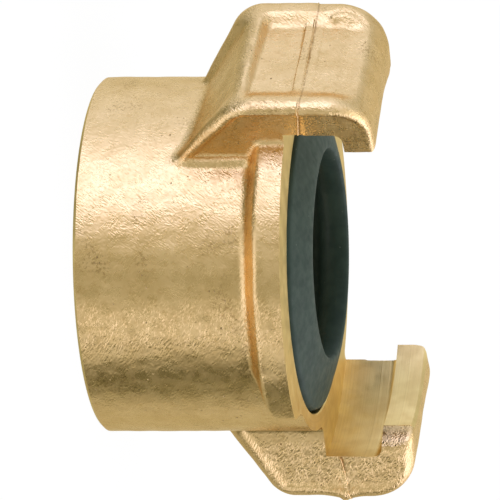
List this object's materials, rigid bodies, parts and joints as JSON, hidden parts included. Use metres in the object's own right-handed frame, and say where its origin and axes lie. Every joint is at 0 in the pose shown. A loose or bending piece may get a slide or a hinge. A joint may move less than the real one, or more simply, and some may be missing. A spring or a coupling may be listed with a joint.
{
  "type": "threaded claw coupling",
  "caption": "Quick hose coupling: brass barrel with an internal pipe thread, a flanged face with hooked claws and a rubber lip seal.",
  "frame": {"origin": "on the axis, at the flat rear end face of the threaded barrel", "axes": "+Z along the axis from the threaded end to the claws, +X through the middle of one claw, +Y to complete a right-handed frame"},
  "size_m": [0.0536, 0.0434, 0.032],
  "materials": {
    "brass": "as forged, fine wrinkled skin, turned faces bright",
    "rubber": "matte moulded"
  },
  "bodies": {
    "root": {"coupling_body": "brass", "seal_ring": "rubber"}
  },
  "joints": []
}
